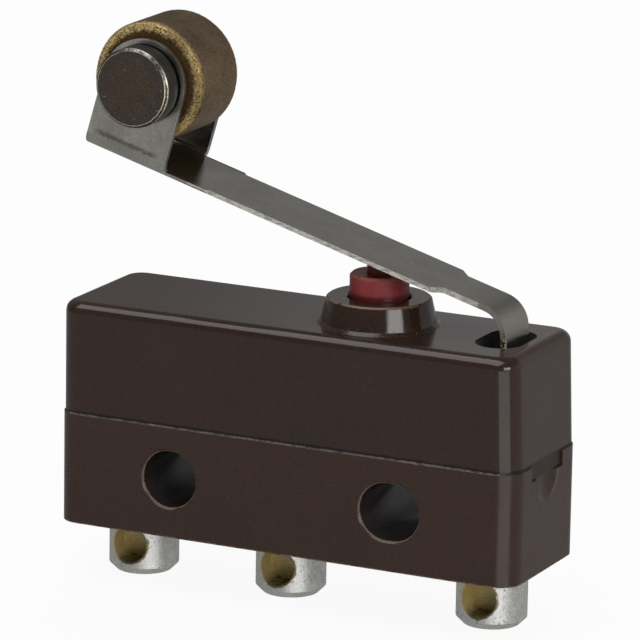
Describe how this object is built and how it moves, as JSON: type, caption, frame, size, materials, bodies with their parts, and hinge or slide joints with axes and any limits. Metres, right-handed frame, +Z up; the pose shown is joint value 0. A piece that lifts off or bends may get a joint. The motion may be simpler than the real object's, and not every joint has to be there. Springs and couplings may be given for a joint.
{
  "type": "lever micro switch",
  "caption": "Sub-miniature snap switch in a brown moulded case with a red plunger, a hinged roller lever above and round posts below.",
  "frame": {"origin": "on the axis of the round mounting hole, in the middle of the case's width", "axes": "+X along the case to its hinge end, +Y to the back along the mounting holes, +Z up from the posts to the roller"},
  "size_m": [0.0198, 0.0064, 0.0226],
  "materials": {
    "base_plastic": "dark brown moulded thermoset, semi-gloss",
    "cover_plastic": "dark brown-grey moulded thermoset, polished top",
    "plunger_plastic": "dull red moulded plastic",
    "pin_steel": "plain steel",
    "lever_steel": "satin grey sheet steel with bright cut edges",
    "roller_bronze": "sintered bronze, matt brown rim and speckled golden face",
    "axle_metal": "blackened rivet with a bright worn rim",
    "terminal_plating": "dull silver plating, bare golden brass in the wire holes",
    "strip_brass": "plain brass strip",
    "blade_copper": "beryllium copper spring strip",
    "contact_silver": "silver contact button"
  },
  "bodies": {
    "case": {"base_housing": "base_plastic", "cover_housing": "cover_plastic", "lever_pivot_pin": "pin_steel", "terminal_common": "terminal_plating", "terminal_normally_open": "terminal_plating", "terminal_normally_closed": "terminal_plating", "common_strip": "strip_brass", "normally_open_strip": "strip_brass", "normally_closed_strip": "strip_brass", "normally_open_contact": "contact_silver", "normally_closed_contact": "contact_silver", "blade_clamp_plate": "pin_steel", "blade_rivet_front": "strip_brass", "blade_rivet_back": "strip_brass"},
    "lever": {"roller_lever": "lever_steel", "roller_axle": "axle_metal"},
    "roller": {"roller": "roller_bronze"},
    "plunger": {"plunger": "plunger_plastic"},
    "blade": {"snap_blade": "blade_copper", "moving_contact": "contact_silver"}
  },
  "joints": [
    {"name": "lever_pivot", "type": "hinge", "parent": "case", "child": "lever", "pos_m": [0.01284, 0, 0.0053], "axis": [0, -1, 0], "range_deg": [0, 6], "stiffness_Nm_per_rad": 0.03, "springref_deg": -5.73},
    {"name": "roller_spin", "type": "hinge", "parent": "lever", "child": "roller", "pos_m": [-0.00192, 0, 0.0154], "axis": [0, 1, 0], "continuous": true},
    {"name": "plunger_slide", "type": "slide", "parent": "case", "child": "plunger", "axis": [0, 0, -1], "range_m": [0, 0.00066]},
    {"name": "blade_pivot", "type": "hinge", "parent": "case", "child": "blade", "pos_m": [0.00915, 0, 0.00414], "axis": [0, -1, 0], "range_deg": [0, 2.36], "deforming": ["snap_blade"]}
  ],
  "couplings": [
    {"joint": "plunger_slide", "follows": "lever_pivot", "m_per_rad": 0.00625},
    {"joint": "blade_pivot", "follows": "lever_pivot", "ratio": 0.3915}
  ]
}
